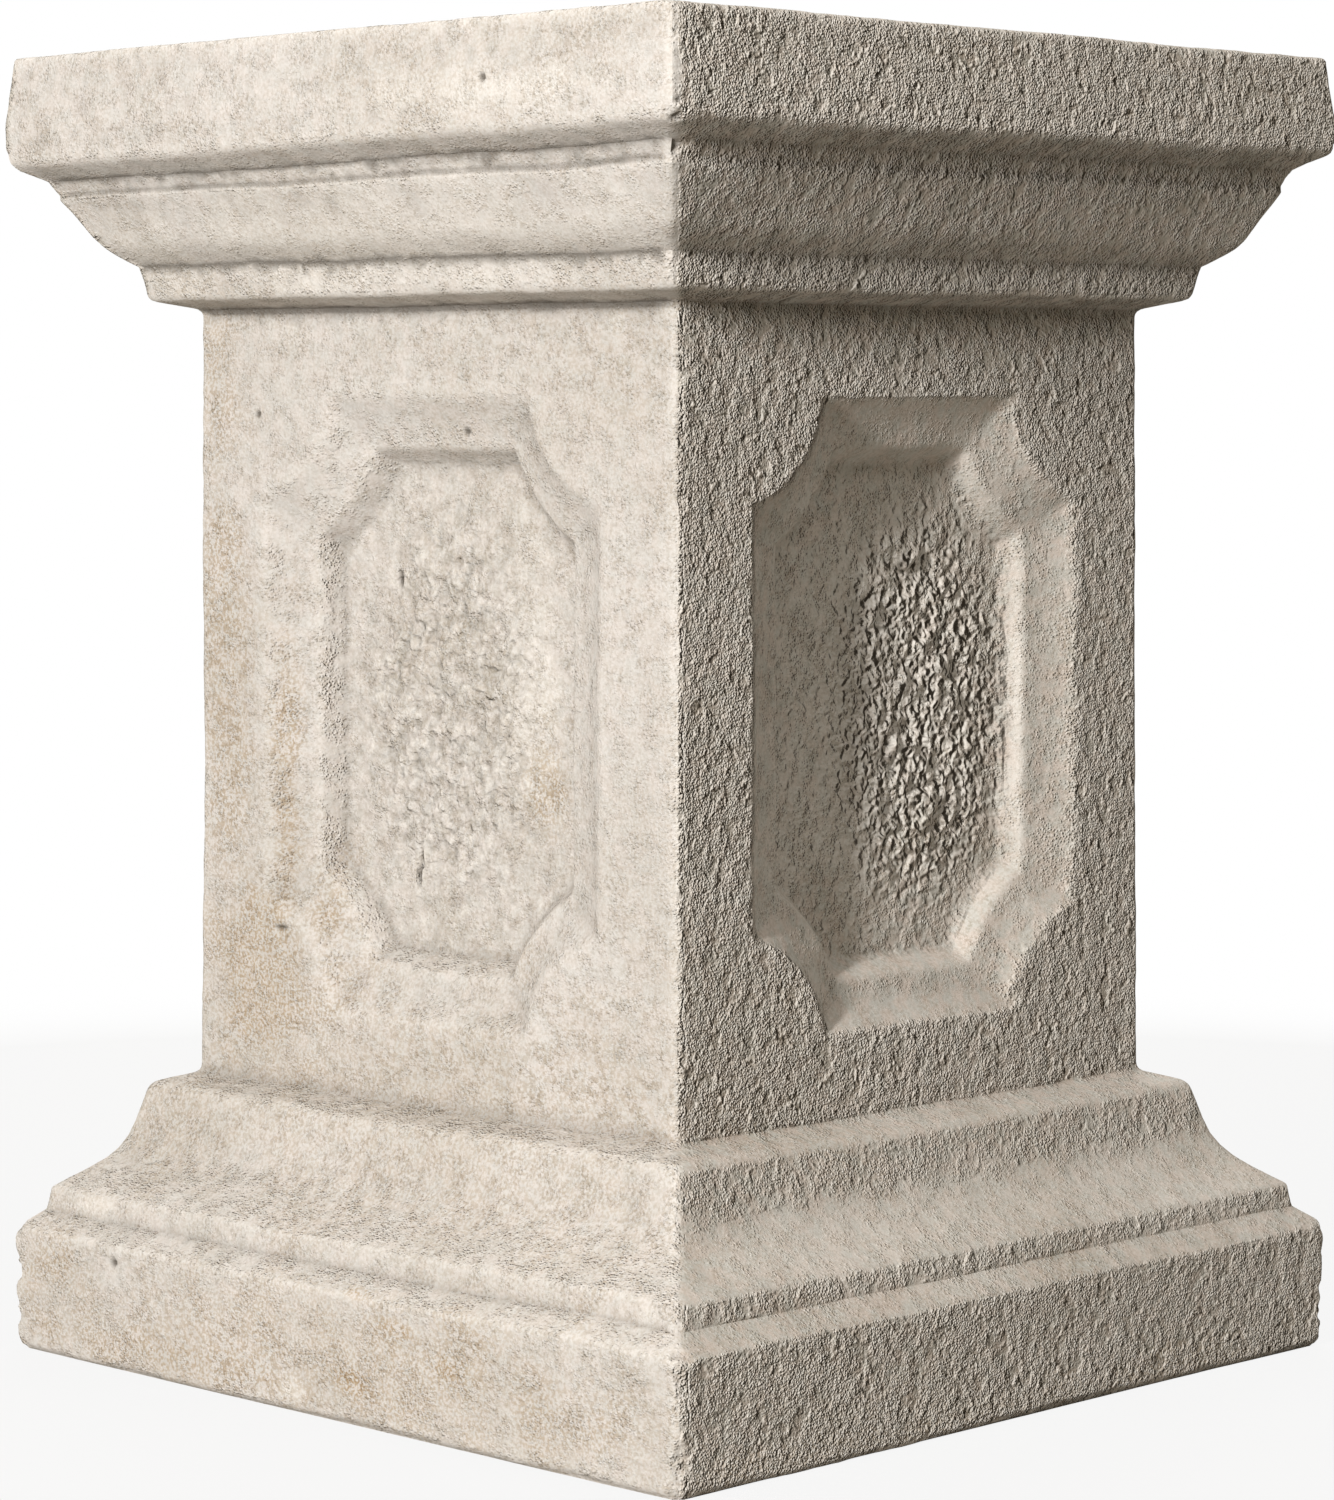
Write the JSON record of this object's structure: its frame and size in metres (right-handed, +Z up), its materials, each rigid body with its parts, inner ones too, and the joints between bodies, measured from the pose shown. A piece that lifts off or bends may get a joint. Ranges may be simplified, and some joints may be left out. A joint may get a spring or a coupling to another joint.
{
  "type": "square garden pedestal",
  "caption": "Square cast-stone garden pedestal with moulded base and cap and a sunk, scoop-cornered panel on each face of its shaft, for a statue or urn to stand on.",
  "frame": {"origin": "centre of the underside, at ground level", "axes": "+Z up the pedestal, X and Y square to its faces"},
  "size_m": [0.4064, 0.4064, 0.5588],
  "materials": {
    "cast_stone": "weathered, sandy and matt"
  },
  "bodies": {
    "root": {"pedestal": "cast_stone"}
  },
  "joints": []
}
